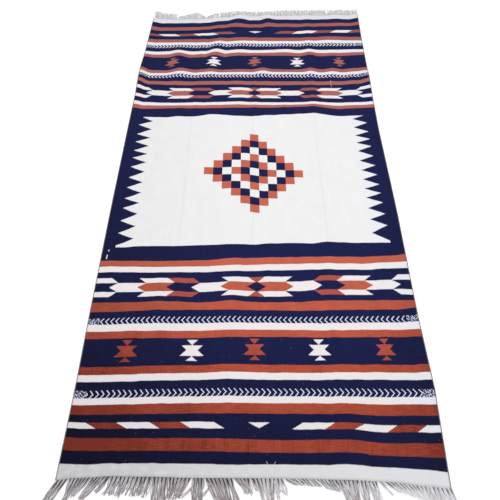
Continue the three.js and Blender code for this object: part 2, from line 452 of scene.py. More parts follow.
# Rows of darts: start, end, middle across, how far their ends slant, how much closer they
# are on the right, half the width of the small white one, and where each dye starts on the
# way out from the middle
DART_ROWS = (
    (0.154, 0.174, 0.022, 0.018, 0.05, 0.036,
     ((0.131, WHITE), (0.241, RUST), (0.343, WHITE), (0.452, RUST), (0.554, WHITE))),
    (2.262, 2.284, 0.005, 0.017, 0.00, 0.038,
     ((0.125, RUST), (0.229, WHITE), (0.343, RUST), (0.447, WHITE), (0.544, RUST))),
)
SMALL_DART = 0.017


def lay_darts(dye, across, along):
    for start, end, middle, slant, closer, small_half, steps in DART_ROWS:
        out = abs(across - middle) * (1 + (across > middle) * closer)
        slanted = out - (along - (start + end) / 2) * (2 * slant / (end - start))
        dye = lay_over(dye, dye_by_steps(slanted, NAVY, steps), along.within(start, end))
        small = out < (along - (end - SMALL_DART)) * (small_half / SMALL_DART)
        dye = lay_over(dye, WHITE, small * (along < end))
    return dye


# The stepped figures: their middles across in the near and far row, their dyes, and their
# widths as shares of the full one. Then the far sides of the two rows, and half the width
# on the way down from there.
FIGURES = (
    (-0.452, -0.441, RUST, 0.98),
    (-0.217, -0.215, WHITE, 0.99),
    (0.006, 0.006, RUST, 0.92),
    (0.235, 0.237, WHITE, 0.94),
    (0.468, 0.463, RUST, 0.82),
)
FIGURE_FAR_SIDES = (0.454, 2.047)
FIGURE_HEIGHT = 0.076
FIGURE_OUTLINE = (
    (0.0000, 0.0200), (0.0170, 0.0015), (0.0200, 0.0015), (0.0204, 0.0380), (0.0370, 0.0200),
    (0.0580, 0.0430), (0.0586, 0.0015), (0.0620, 0.0015), (0.0760, 0.0210),
)


def lay_figures(dye, across, along, far_half):
    down = by_half(far_half, FIGURE_FAR_SIDES) - along
    half_width = outline_at(down, FIGURE_OUTLINE) * down.within(0, FIGURE_HEIGHT)
    for near, far, figure_dye, share in FIGURES:
        inside = abs(across - by_half(far_half, (near, far))) < half_width * share
        dye = lay_over(dye, figure_dye, inside)
    return dye


# The chains of hexagons, near and far: middle along, half height, half height of the middle
# tier, and middle across. Their ends zigzag from tier to tier. Then the dyes from the middle
# outwards, and where each starts: in the near chain to the left and right, and in the far
# one.
CHAIN_MIDDLE = (0.660, 1.759)
CHAIN_HALF = (0.041, 0.038)
CHAIN_TIER = (0.0195, 0.018)
CHAIN_ACROSS = (0.012, 0.007)
CHAIN_ZIG_MIDDLE = -0.005
CHAIN_ZIG_TIER = 0.028
OUTER_TIERS = (RUST, WHITE, NAVY, RUST, WHITE, NAVY, WHITE)
MIDDLE_TIER = (NAVY, RUST, WHITE, NAVY, RUST, WHITE, NAVY)
CHAIN_STARTS = (
    (0.028, 0.036, 0.030, 0.035),
    (0.131, 0.142, 0.136, 0.140),
    (0.242, 0.251, 0.231, 0.254),
    (0.341, 0.341, 0.338, 0.347),
    (0.452, 0.446, 0.445, 0.452),
    (0.561, 0.551, 0.554, 0.552),
)


def lay_chains(dye, across, along, far_half):
    off = abs(along - by_half(far_half, CHAIN_MIDDLE))
    half = by_half(far_half, CHAIN_HALF)
    tier = by_half(far_half, CHAIN_TIER)
    zig = CHAIN_ZIG_MIDDLE + off.between(0, tier) * (CHAIN_ZIG_TIER - CHAIN_ZIG_MIDDLE)
    zig = zig - off.between(tier, half) * CHAIN_ZIG_TIER
    from_middle = across - by_half(far_half, CHAIN_ACROSS)
    out = abs(from_middle) + zig
    on_right = from_middle > 0
    starts = []
    for near_left, near_right, far_left, far_right in CHAIN_STARTS:
        left = by_half(far_half, (near_left, far_left))
        right = by_half(far_half, (near_right, far_right))
        starts.append(left + on_right * (right - left))
    outer = dye_by_steps(out, OUTER_TIERS[0], list(zip(starts, OUTER_TIERS[1:])))
    middle = dye_by_steps(out, MIDDLE_TIER[0], list(zip(starts, MIDDLE_TIER[1:])))
    return lay_over(dye, lay_over(outer, middle, off < tier), off < half)


# The saw-toothed borders of the field: where the white notches are deepest, as seen on the
# floor, and how far across the navy runs at a notch and at a tooth. The farthest notch on
# the left is shorter.
LEFT_NOTCHES = (
    0.839, 0.900, 0.962, 1.027, 1.079, 1.139, 1.197,
    1.260, 1.315, 1.362, 1.417, 1.468, 1.530, 1.581,
)
RIGHT_NOTCHES = (
    0.872, 0.948, 1.005, 1.064, 1.115, 1.164, 1.219,
    1.273, 1.331, 1.390, 1.437, 1.486, 1.545, 1.599,
)
NOTCH_ACROSS = 0.558
TOOTH_ACROSS = 0.490
FAR_LEFT_SHORT = 0.24


def lay_borders(dye, across, along):
    counts = []
    for side, seen_notches in ((-1, LEFT_NOTCHES), (1, RIGHT_NOTCHES)):
        places = [seen - weft_bend(side * NOTCH_ACROSS, seen) for seen in seen_notches]
        counts.append(outline_at(along, list(zip(places, range(len(places))))))
    left, right = counts
    count = left + (across > 0) * (right - left)
    farthest = count > len(LEFT_NOTCHES) - 1.5
    to_notch = abs(count.fraction() - 0.5) * 2
    to_notch = to_notch * (1 - farthest * (across < 0) * FAR_LEFT_SHORT)
    border = abs(across) > TOOTH_ACROSS + to_notch * (NOTCH_ACROSS - TOOTH_ACROSS)
    return lay_over(dye, NAVY, border * along.within(*FIELD))


# The medallion: rings of cells round one cell, each ring the next dye. The cells' widths are
# to the left and right of the middle, and their heights below and above it.
CELL_WIDTHS = (0.0418, 0.0395)
CELL_HEIGHTS = (0.0408, 0.0421)
MEDALLION_RINGS = 5
MEDALLION_MIDDLE = (0.010, 1.2285)
MEDALLION_TILT = 0.049

# How much further along the medallion's cells lie than in straight rows, at places across
MEDALLION_LIFT = (
    (-0.160, 0.0000), (-0.118, 0.0050), (-0.078, 0.0082), (-0.030, 0.0098), (0.046, -0.0020),
    (0.130, -0.0020), (0.175, 0.0000),
)


def lay_medallion(dye, across, along):
    aside = across - MEDALLION_MIDDLE[0]
    above = along - MEDALLION_MIDDLE[1] + across * MEDALLION_TILT
    above = above - outline_at(across, MEDALLION_LIFT)
    ring = 0
    for off, (low_side, high_side) in ((aside, CELL_WIDTHS), (above, CELL_HEIGHTS)):
        cell = (off / (low_side + (off > 0) * (high_side - low_side))).rounded()
        ring = abs(cell) + ring
    return lay_over(dye, ring % DYE_COUNT, ring < MEDALLION_RINGS + 0.5)


# White slips in the navy border: across, start, end
BORDER_SLIPS = ((-0.583, 0.830, 0.837), (-0.586, 0.794, 0.814))
SLIP_HALF = 0.002


def rug_pattern(across, along):
    """The number of the dye at each place in the weave"""
    far_half = along > HALFWAY
    dye = dye_by_steps(along, WHITE, STRIPES)
    dye = lay_arrowheads(dye, across, along)
    dye = lay_darts(dye, across, along)
    dye = lay_figures(dye, across, along, far_half)
    dye = lay_chains(dye, across, along, far_half)
    dye = lay_borders(dye, across, along)
    dye = lay_medallion(dye, across, along)
    for middle, start, end in BORDER_SLIPS:
        slip = (abs(across - middle) < SLIP_HALF) * along.within(start, end)
        dye = lay_over(dye, WHITE, slip)
    return dye


# The weave, and how far it moves a colour's edge
RIB_PITCH = 0.00225
PICK_PITCH = 0.0012
EDGE_TOOTH = 0.0014
EDGE_WANDER = 0.0045
EDGE_FRAY = 0.003

# The weave's roughness and gloss, and how strong and how deep its relief is
WEFT_SHEEN = (0.96, 0.08)
WEAVE_RELIEF = (0.6, 0.0006)

# The grain of each noise: how fine it is across and along, its layer, and its detail
WANDER_GRAIN = (22, 9, 0, 1)
FRAY_GRAIN = (3, 160, 0, 1)
STREAK_GRAIN = (30, 520, 0, 2)
MOTTLE_GRAIN = (16, 16, 3, 3)
RIB_GRAIN = (240, 5, 9, 2)
PATCH_GRAIN = (34, 60, 2, 3)
LINT_GRAIN = (210, 210, 7, 1)
TONE_RANGE = (0.34, 0.66)

# Over which stretch the painted shade and the white's tints change, along the rug or across it
NEAR_SHADE_ENDS = (0.060, 0.460)
LEFT_SHADE_ENDS = (-0.620, -0.080)
RIGHT_SHADE_STARTS = (0.420, 0.610)
SIDE_SHADE_ENDS = (0.750, 1.550)
WHITE_LEFT_SHADE_ENDS = (0.300, 0.750)
RIGHT_WHITE_STARTS = (0.450, 0.570)
NAVY_NEAR_SHADE_ENDS = (0.470, 0.620)
NAVY_RIGHT_SHADE_STARTS = (0.000, 0.500)
RUST_NEAR_SHADE_ENDS = (0.600, 0.800)
NEAR_BAND_CHANGES = (-0.550, 0.350)

# Each dye where it is palest, and where it is deepest with its darkest tone and full painted
# shade
WHITE_WEFT = dyed(232, 231, 232), dyed(186, 185, 189)
NAVY_WEFT = dyed(28, 33, 77), dyed(14, 15, 34)
RUST_WEFT = dyed(202, 94, 70), dyed(112, 44, 34)

# The white's tints in the stripes, at the right edge and in the arrowheads, and the painted
# shade on the creases
STRIPE_WHITE = dyed(228, 217, 218)
RIGHT_WHITE = dyed(212, 220, 231)
ARROW_WHITE = dyed(190, 204, 240)
CREASE_SHADE = dyed(205, 205, 210)
CREASE_HALF = 0.009

# How the rust fades along the rug: from where, to where, by what share, to what colour
RUST_FADES = (
    (0.400, 0.900, 0.50, dyed(190, 108, 89)),
    (1.450, 1.750, 0.85, dyed(156, 97, 92)),
    (1.900, 2.300, 0.20, dyed(120, 68, 70)),
)

# Rows where the rust is darkened by the navy beside it: start, end, share
DARK_RUST_ROWS = (
    (FIGURE_FAR_SIDES[0] - FIGURE_HEIGHT, FIGURE_FAR_SIDES[0], 0.12),
    (DART_ROWS[1][0], DART_ROWS[1][1], 0.22),
)
CHAIN_RUST = dyed(140, 64, 72)

# The white bands at the two ends, the selvedges' outer ribs, and the lint
NEAR_BAND_TO = 0.060
NEAR_BAND_LEFT = dyed(182, 183, 186)
NEAR_BAND_RIGHT = dyed(211, 212, 215)
NEAR_BAND_PATCH = dyed(216, 215, 223)
FAR_BAND_FROM = 2.380
FAR_BAND = dyed(210, 213, 219)
SELVEDGE_FROM = 0.6065
SELVEDGE_EDGE = 0.001
SELVEDGE_BROWN = dyed(126, 112, 108)
LINT = dyed(206, 198, 198)


def white_weft(across, along, tone, near_shade, left):
    """Undyed weft, with painted shade that is deepest at the near end and to the left"""
    left = left * (1 - along.between(*WHITE_LEFT_SHADE_ENDS) * 0.7)
    tone_and_shade = tone * 0.25 + near_shade * 0.30 + left * 0.45
    white = tone_and_shade.between(0, 1).blend(*WHITE_WEFT)
    in_field = along.within(*FIELD)
    white = (0.5 - in_field * 0.5).blend(white, STRIPE_WHITE)
    white = (across.between(*RIGHT_WHITE_STARTS) * 0.5).blend(white, RIGHT_WHITE)
    in_arrows = 0
    for start, end, _, _ in ARROW_ROWS:
        in_arrows = along.within(start, end) + in_arrows
    white = (in_arrows * 0.5).blend(white, ARROW_WHITE)
    # Painted shade along the fold creases in the field
    crease = 0
    for middle, _, _ in FOLD_CREASES:
        crease = 1 - abs(across - middle).between(0, CREASE_HALF) + crease
    return (crease * in_field * 0.25).blend(white, CREASE_SHADE)


def navy_weft(across, along, tone, near_shade, side):
    """Navy weft, with painted shade that is deepest in the near stripes and at their sides"""
    near = 1 - along.between(*NAVY_NEAR_SHADE_ENDS)
    near_shade = near_shade * (1 - across.between(*NAVY_RIGHT_SHADE_STARTS) * 0.4)
    depth = tone * 0.40 + near_shade * 0.42 + side * 0.42 + near * 0.09
    return depth.between(0, 1).blend(*NAVY_WEFT)


def rust_weft(along, tone, near_shade, side, navy):
    """Rust weft, with painted shade that is deepest in the near stripes, and faded along the
    rug
    """
    near = 1 - along.between(*RUST_NEAR_SHADE_ENDS)
    depth = tone * 0.50 + near_shade * 0.42 + side * 0.45 + near * 0.11
    rust = depth.between(0, 1).blend(*RUST_WEFT)
    for start, end, share, faded in RUST_FADES:
        rust = (along.between(start, end) * share).blend(rust, faded)
    for start, end, share in DARK_RUST_ROWS:
        rust = (along.within(start, end) * share).blend(rust, navy)
    for middle, half, tier in zip(CHAIN_MIDDLE, CHAIN_HALF, CHAIN_TIER):
        outer_tiers = abs(along - middle).within(tier, half)
        rust = (outer_tiers * 0.40).blend(rust, CHAIN_RUST)
    return rust


def woven_cotton():
    material, surface, nodes = new_material("woven_cotton")
    weave = nodes.node("ShaderNodeUVMap", {"uv_map": "weave"}, {})
    across = weave.axis(0)
    along = weave.axis(1)

    # A colour's edge steps from rib to rib and wanders a little, as hand weaving does
    other_rib = (across / (2 * RIB_PITCH)).fraction() < 0.5
    wander = across.grain(along, *WANDER_GRAIN) - 0.5
    fray = across.grain(along, *FRAY_GRAIN) - 0.5
    edge_along = along + (other_rib - 0.5) * EDGE_TOOTH + wander * EDGE_WANDER
    dye = rug_pattern(across + fray * EDGE_FRAY, edge_along)

    # Each dye has its lighter and deeper threads, in streaks along the weft. Painted shade
    # darkens the near stripes and the sides, most of all to the left, and the rust of the far
    # ones has faded.
    streaks = across.grain(along, *STREAK_GRAIN)
    mottle = across.grain(along, *MOTTLE_GRAIN)
    ribs = across.grain(along, *RIB_GRAIN)
    tone = (streaks * 0.5 + mottle * 0.25 + ribs * 0.25).between(*TONE_RANGE)
    near_shade = 1 - along.between(*NEAR_SHADE_ENDS)
    left = 1 - across.between(*LEFT_SHADE_ENDS)
    side = left + across.between(*RIGHT_SHADE_STARTS) * 0.5
    side = side * (1 - along.between(*SIDE_SHADE_ENDS) * 0.75)
    white = white_weft(across, along, tone, near_shade, left)
    navy = navy_weft(across, along, tone, near_shade, side)
    rust = rust_weft(along, tone, near_shade, side, navy)
    colour = (dye > 1.5).blend((dye > 0.5).blend(white, navy), rust)

    # The white end band is painted greyer, as handling soils it, and darker to the left as
    # painted shade. The selvedges' outer ribs are grey-brown
    near_band = (along < NEAR_BAND_TO) * (dye < 0.5)
    band_colour = across.between(*NEAR_BAND_CHANGES).blend(NEAR_BAND_LEFT, NEAR_BAND_RIGHT)
    colour = (near_band * (0.7 + mottle * 0.2)).blend(colour, band_colour)
    patches = across.grain(along, *PATCH_GRAIN).between(0.46, 0.62)
    colour = (near_band * patches * 0.35).blend(colour, NEAR_BAND_PATCH)
    far_band = (along > FAR_BAND_FROM) * (dye < 0.5)
    colour = (far_band * 0.8).blend(colour, FAR_BAND)
    selvedge = abs(across).between(SELVEDGE_FROM, SELVEDGE_FROM + SELVEDGE_EDGE)
    colour = (selvedge * 0.75).blend(colour, SELVEDGE_BROWN)

    # Lint clings to the dyed stripes
    lint = across.grain(along, *LINT_GRAIN).between(0.770, 0.790)
    colour = (lint * (dye > 0.5) * 0.35).blend(colour, LINT)

    # Ribs over the warp, crossed by the picks, which alternate from rib to rib
    picks = (along + other_rib * (PICK_PITCH / 2)).ridges(PICK_PITCH)
    height = across.ridges(RIB_PITCH) * 0.7 + picks * 0.3 + streaks * 0.4
    finish_surface(nodes, surface, colour, WEFT_SHEEN, (height, *WEAVE_RELIEF))
    return material


cloth.data.materials.append(woven_cotton())
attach(cloth, "root")
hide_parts("woven_cloth")


# The two fringes: the warp's own ends, left long beyond the last pick. They leave the cloth
# in small groups with a slit between one group and the next, where low yarns carry painted
# shadow. At the near end they are swept about in locks, and at the far end they lie nearly
# straight.
YARN_RADIUS = 0.00125
TIP_TAPER = 0.80
GROUP_PITCH = 0.0127
GROUP_YARNS = (-0.0032, -0.0011, 0.0011, 0.0032)
SLIT_YARNS = (0.0053, 0.0074)
YARNS_IN_GROUP = len(GROUP_YARNS) + len(SLIT_YARNS)
YARN_STEPS = 8

# How far a yarn is held inside the woven edge, and how it comes down to the floor
YARN_HOLD = 0.004
HELD_UP_TO = 0.002
ROOTS_LIE_DOWN_AT = 0.042
ROOT_CROWN = 0.0012
ROOT_CROWN_TO = 0.020

# How yarns differ by chance: their tips to the sides, their reach, their waves and turns,
# and how high they lie on others
TIP_SCATTER = 0.0035
REACH_SCATTER = (0.84, 1.05)
WAVES = (0.0010, 0.0046)
TURNS = (0.7, 1.6)
PILE_HEIGHT = 0.0030

# The wisps: their spacing, how they differ by chance, and how high they lie
WISP_SPACING = 0.0023
WISP_TIP_SCATTER = 0.003
WISP_REACH_SCATTER = (0.86, 1.03)
WISP_TONES = (0.45, 1)
WISP_HEIGHT = 0.0030
WISP_CROWN_TO = 0.060

# How much closer to one another, and how much lower, a wisp's yarns lie at its tip
WISP_CLOSING = 0.6
WISP_SINKING = 0.7

# The painted shadow in the slits between groups, the painted shade on their yarns beyond them,
# the painted shade at the roots of the others, and the tips
SLIT_FROM = 0.011
SLIT_TO = 0.030
SLIT_YARN_SHADE = 0.40
ROOT_SHADE = 0.25
ROOT_SHADE_TO = 0.010
TIPS_FROM = 0.030
TIPS_LENGTH = 0.055

# Where the yarn is clean and less shaded, the slits' painted shadow starts and ends sooner by
# these shares, and the yarns in them carry this much less painted shade
UNSHADED_SLIT_FROM = 0.4
UNSHADED_SLIT_TO = 0.30
UNSHADED_SLIT_SHADE = 0.22

# How clean the yarn is at places across, which also takes painted shade off it
CLEAN_AND_UNSHADED_YARN = (
    (-0.030, 0.00), (0.020, 0.45), (0.110, 0.75), (0.170, 0.60), (0.220, 0.44), (0.340, 0.45),
    (0.420, 1.00),
)

# The locks from left to right: the two ends of each lock's roots, the two ends of its tips,
# and how far its first and last yarns reach in front of the woven edge
NEAR_LOCKS = (
    ((-0.608, -0.572), (-0.655, -0.622), (0.074, 0.070)),
    ((-0.572, -0.500), (-0.583, -0.546), (0.062, 0.046)),
    ((-0.500, -0.452), (-0.532, -0.512), (0.060, 0.054)),
    ((-0.452, -0.440), (-0.486, -0.476), (0.044, 0.042)),
    ((-0.440, -0.312), (-0.460, -0.322), (0.050, 0.054)),
    ((-0.312, -0.262), (-0.306, -0.266), (0.082, 0.080)),
    ((-0.262, -0.186), (-0.260, -0.222), (0.060, 0.054)),
    ((-0.186, -0.152), (-0.186, -0.152), (0.080, 0.078)),
    ((-0.152, -0.062), (-0.100, -0.032), (0.084, 0.082)),
    ((-0.062, -0.008), (-0.016, 0.002), (0.044, 0.040)),
    ((-0.008, 0.006), (0.012, 0.020), (0.038, 0.034)),
    ((0.006, 0.074), (0.040, 0.066), (0.080, 0.076)),
    ((0.074, 0.084), (0.080, 0.088), (0.062, 0.056)),
    ((0.084, 0.092), (0.100, 0.108), (0.042, 0.038)),
    ((0.092, 0.190), (0.128, 0.214), (0.018, 0.021)),
    ((0.190, 0.262), (0.230, 0.274), (0.024, 0.034)),
    ((0.262, 0.330), (0.296, 0.326), (0.084, 0.080)),
    ((0.330, 0.352), (0.338, 0.360), (0.078, 0.072)),
    ((0.352, 0.384), (0.374, 0.394), (0.060, 0.046)),
    ((0.384, 0.398), (0.424, 0.432), (0.040, 0.036)),
    ((0.398, 0.440), (0.440, 0.478), (0.026, 0.030)),
    ((0.440, 0.480), (0.484, 0.518), (0.034, 0.036)),
    ((0.480, 0.545), (0.520, 0.551), (0.038, 0.044)),
    ((0.545, 0.608), (0.562, 0.632), (0.074, 0.070)),
)
FAR_LOCKS = (
    ((-0.608, -0.470), (-0.616, -0.475), (0.076, 0.058)),
    ((-0.466, -0.350), (-0.460, -0.350), (0.034, 0.076)),
    ((-0.350, -0.296), (-0.350, -0.304), (0.074, 0.034)),
    ((-0.296, -0.219), (-0.290, -0.222), (0.036, 0.056)),
    ((-0.215, -0.100), (-0.214, -0.104), (0.056, 0.062)),
    ((-0.100, 0.008), (-0.098, 0.002), (0.062, 0.052)),
    ((0.008, 0.076), (0.014, 0.078), (0.052, 0.058)),
    ((0.076, 0.250), (0.080, 0.246), (0.056, 0.062)),
    ((0.250, 0.430), (0.252, 0.424), (0.062, 0.060)),
    ((0.430, 0.608), (0.436, 0.616), (0.060, 0.062)),
)

# Single yarns and thin wisps that lie across the near locks: where each leaves the edge,
# where it is halfway, where it ends, its reach, and its number of yarns
NEAR_WISPS = (
    (-0.567, -0.568, -0.567, 0.064, 2),
    (-0.465, -0.471, -0.480, 0.050, 2),
    (-0.418, -0.406, -0.405, 0.063, 2),
    (-0.391, -0.397, -0.412, 0.050, 2),
    (-0.316, -0.303, -0.304, 0.066, 2),
    (-0.252, -0.222, -0.250, 0.046, 3),
    (-0.202, -0.203, -0.232, 0.056, 3),
    (-0.182, -0.184, -0.218, 0.056, 2),
    (-0.156, -0.148, -0.174, 0.056, 2),
    (-0.137, -0.130, -0.162, 0.056, 2),
    (-0.040, -0.012, 0.001, 0.047, 3),
    (0.069, 0.076, 0.110, 0.048, 2),
    (0.266, 0.297, 0.307, 0.060, 3),
    (0.334, 0.321, 0.308, 0.060, 3),
    (0.353, 0.374, 0.384, 0.058, 2),
    (0.365, 0.382, 0.390, 0.038, 2),
    (0.540, 0.556, 0.570, 0.070, 3),
)


def edge_at(x, along):
    """The woven edge of the cloth in front of a place across"""
    half = CLOTH_WIDTH / 2
    across = min(half, max(-half, x))
    return cloth_point(across, along)


def hump(share):
    """Rises from 0 to 1 and comes back to 0, as the share goes from 0 to 1"""
    return math.sin(math.pi * min(1, max(0, share)))


def come_down(out):
    """How far down to the floor a yarn has come, at a distance out from the woven edge"""
    return ease((out - HELD_UP_TO) / (ROOTS_LIE_DOWN_AT - HELD_UP_TO))


def yarn_path(lock, share, from_middle, low, along, away, chance):
    """The points of one yarn, each with its thickness as a share of the full one"""
    (root_left, root_right), (tip_left, tip_right), (first_reach, last_reach) = lock
    gather = min(1, (tip_right - tip_left) / (root_right - root_left))
    root_x = mix(root_left, root_right, share) + from_middle
    tip_x = mix(tip_left, tip_right, share) + from_middle * gather
    tip_x += chance.uniform(-TIP_SCATTER, TIP_SCATTER)
    reach = mix(first_reach, last_reach, share) * chance.uniform(*REACH_SCATTER)
    wave = chance.uniform(*WAVES)
    turns = chance.uniform(*TURNS)
    phase = chance.uniform(0, 2 * math.pi)
    pile = 0 if low else chance.uniform(0, PILE_HEIGHT)
    points = []
    for step in range(YARN_STEPS + 1):
        part = step / YARN_STEPS
        out = mix(-YARN_HOLD, reach, part)
        x = mix(root_x, tip_x, part * mix(0.9, 1, part))
        x += wave * part * math.sin(phase + 2 * math.pi * turns * part)
        edge = edge_at(x, along)
        over_floor = YARN_RADIUS + pile * hump(part * 1.15) ** 2
        crown = 0 if low else ROOT_CROWN * hump(out / ROOT_CROWN_TO)
        z = mix(edge.z + CLOTH_THICKNESS / 2, over_floor, come_down(out)) + crown
        points.append(((x, edge.y + away * out, z), mix(1, TIP_TAPER, part**2)))
    return points


def wisp_path(wisp, offset, along, away, chance):
    """The points of one yarn that lies over the others, each with its thickness"""
    root, middle, end, reach, _ = wisp
    end += chance.uniform(-WISP_TIP_SCATTER, WISP_TIP_SCATTER)
    reach *= chance.uniform(*WISP_REACH_SCATTER)
    pull = 2 * middle - (root + end) / 2
    points = []
    for step in range(YARN_STEPS + 1):
        part = step / YARN_STEPS
        out = mix(-YARN_HOLD, reach, part)
        x = mix(mix(root, pull, part), mix(pull, end, part), part)
        x += offset * (1 - part * WISP_CLOSING)
        edge = edge_at(x, along)
        crown = WISP_HEIGHT * hump(out / WISP_CROWN_TO) * (1 - WISP_SINKING * part)
        z = mix(edge.z + CLOTH_THICKNESS / 2, WISP_HEIGHT, come_down(out)) + crown
        points.append(((x, edge.y + away * out, z), mix(1, TIP_TAPER, part**2)))
    return points


def fringe_strands(locks, wisps, along, away, chance):
    """The yarns of a fringe, group by group, and then those of its wisps"""
    strands = []
    for lock in locks:
        root_left, root_right = lock[0]
        groups = max(1, round((root_right - root_left) / GROUP_PITCH))
        for group in range(groups):
            share = (group + 0.5) / groups
            for from_middle in GROUP_YARNS + SLIT_YARNS:
                low = from_middle in SLIT_YARNS
                strands.append(yarn_path(lock, share, from_middle, low, along, away, chance))
    for wisp in wisps:
        for number in range(wisp[4]):
            offset = (number - (wisp[4] - 1) / 2) * WISP_SPACING
            strands.append(wisp_path(wisp, offset, along, away, chance))
    return strands


def strand_piece(name, strands, radius, sides):
    """Round strands as one mesh. Each point of a strand has its share of the thickness."""
    curve = bpy.data.curves.new(name, "CURVE")
    curve.dimensions = "3D"
    curve.bevel_depth = radius
    curve.bevel_resolution = sides
    curve.use_fill_caps = True
    for strand in strands:
        spline = curve.splines.new("POLY")
        spline.points.add(len(strand) - 1)
        for point, (place, thickness) in zip(spline.points, strand):
            point.co = (*place, 1)
            point.radius = thickness
    drawn = bpy.data.objects.new(name, curve)
    data = bpy.data.meshes.new_from_object(drawn)
    bpy.data.objects.remove(drawn)
    data.name = name
    for polygon in data.polygons:
        polygon.use_smooth = True
    return put_in_scene(name, data)


def yarn_of_vertices(data):
    """The number of the separate yarn that each vertex belongs to, in the order drawn"""
    first = list(range(len(data.vertices)))
    for edge in data.edges:
        low, high = sorted(edge.vertices)
        first[high] = min(first[high], first[low])
    for index, lower in enumerate(first):
        first[index] = first[lower]
    return first


def shade_yarns(data, wisp_yarns, along, away, slit_depth, seed):
    """Marks each point of a fringe with its depth of painted shade, its nearness to a tip, its
    tone and how clean and unshaded it is. The low yarns carry painted shade, most of all at
    their roots, and every yarn a little at its root."""
    chance = random.Random(seed)
    yarn_of = yarn_of_vertices(data)
    yarns = sorted(set(yarn_of))
    in_groups = len(yarns) - wisp_yarns
    tones = {}
    lows = {}
    for number, yarn in enumerate(yarns):
        tones[yarn] = chance.random() if number < in_groups else chance.uniform(*WISP_TONES)
        lows[yarn] = number < in_groups and number % YARNS_IN_GROUP >= len(GROUP_YARNS)
    marks = {"shade": [], "tip": [], "tone": [], "clean_and_unshaded": []}
    for vertex in data.vertices:
        yarn = yarn_of[vertex.index]
        out = away * (vertex.co.y - edge_at(vertex.co.x, along).y)
        clean_and_unshaded = read_table(CLEAN_AND_UNSHADED_YARN, 1, vertex.co.x)
        shade = ROOT_SHADE * (1 - ease(out / ROOT_SHADE_TO))
        if lows[yarn]:
            slit_from = SLIT_FROM * (1 - UNSHADED_SLIT_FROM * clean_and_unshaded)
            slit_to = SLIT_TO * (1 - UNSHADED_SLIT_TO * clean_and_unshaded)
            rooted = 1 - ease((out - slit_from) / (slit_to - slit_from))
            shade = mix(SLIT_YARN_SHADE - UNSHADED_SLIT_SHADE * clean_and_unshaded, 1, rooted)
        marks["shade"].append(shade * slit_depth)
        marks["tip"].append(ease((out - TIPS_FROM) / TIPS_LENGTH))
        marks["tone"].append(tones[yarn])
        marks["clean_and_unshaded"].append(clean_and_unshaded)
    for mark, values in marks.items():
        data.attributes.new(mark, "FLOAT", "POINT").data.foreach_set("value", values)


# The yarn's colours, of which the first changes from strand to strand, then its grain, and
# the stretch across at the near end where it is painted brown, partly as the yarn's beige and
# partly as painted shade
YARN_WHITE = dyed(226, 225, 229), dyed(192, 188, 193)
CLEAN_WHITE = dyed(230, 230, 235)
HANDLED_GREY = dyed(126, 118, 126)
BEIGE_AND_SHADE = dyed(160, 134, 122)
TIP_BROWN = dyed(146, 116, 104)
NEAR_GREY = dyed(146, 142, 148)
FAR_WHITE = dyed(234, 234, 236)
# Painted shadow for the slits and the roots
SLIT_SHADOW = dyed(34, 30, 42)
YARN_GRAIN = (260, 34, 0, 2)
YARN_PATCH_GRAIN = (26, 26, 5, 2)
MIDDLE_STARTS = (-0.400, -0.260)
MIDDLE_ENDS = (0.020, 0.120)
YARN_TWIST = 0.0022
YARN_SHEEN = (0.96, 0.15)
YARN_RELIEF = (0.5, 0.0004)


def warp_cotton():
    material, surface, nodes = new_material("loose_warp_cotton")
    place = nodes.object_place()
    x = place.axis(0)
    y = place.axis(1)
    at_near_end = y < 0
    shade = nodes.attribute("shade")
    tip = nodes.attribute("tip")
    tone = nodes.attribute("tone")
    # How clean the yarn is, which also lessens its painted shade
    clean_and_unshaded = nodes.attribute("clean_and_unshaded") * at_near_end
    strands = x.grain(y, *YARN_GRAIN)
    patches = x.grain(y, *YARN_PATCH_GRAIN)
    colour = strands.between(0.35, 0.66).blend(*YARN_WHITE)
    colour = (clean_and_unshaded * 0.8).blend(colour, CLEAN_WHITE)
    handled = (1 - clean_and_unshaded * 0.75) * tone.between(0.62, 0.90)
    colour = (handled * 0.8).blend(colour, HANDLED_GREY)
    middle = x.between(*MIDDLE_STARTS) * (1 - x.between(*MIDDLE_ENDS)) * at_near_end
    # Brown patches, partly the yarn's beige and partly painted shade, most in the near end's
    # middle stretch
    brown_and_shade = patches.between(0.50, 0.62) + middle * 0.5
    brown_and_shade = brown_and_shade * tone.between(0.1, 0.6) * (1 - clean_and_unshaded * 0.8)
    colour = (brown_and_shade.between(0, 1) * 0.6).blend(colour, BEIGE_AND_SHADE)
    colour = (tip * strands.between(0.40, 0.56) * 0.5).blend(colour, TIP_BROWN)
    greyed = (1 - clean_and_unshaded.between(0, 0.50)) * at_near_end
    colour = (greyed * (0.35 + tip * 0.35)).blend(colour, NEAR_GREY)
    colour = ((y > 0) * 0.40).blend(colour, FAR_WHITE)
    # Painted shadow in the slits and at the roots, a little less where the yarn is clean
    colour = (shade * (0.92 - clean_and_unshaded * 0.1)).blend(colour, SLIT_SHADOW)
    relief = ((x + y).waves(YARN_TWIST), *YARN_RELIEF)
    finish_surface(nodes, surface, colour, YARN_SHEEN, relief)
    return material


loose_warp = warp_cotton()
for name, node, locks, wisps, along, away, seed, slit_depth in (
    ("near_warp_ends", "fringe_near", NEAR_LOCKS, NEAR_WISPS, FIRST_PICK, -1, 11, 1.0),
    ("far_warp_ends", "fringe_far", FAR_LOCKS, (), LAST_PICK, 1, 23, 0.25),
):
    strands = fringe_strands(locks, wisps, along, away, random.Random(seed))
    fringe = strand_piece(name, strands, YARN_RADIUS, 1)
    wisp_yarns = sum(wisp[4] for wisp in wisps)
    shade_yarns(fringe.data, wisp_yarns, along, away, slit_depth, seed)
    fringe.data.materials.append(loose_warp)
    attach(fringe, "root")
    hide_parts(node)


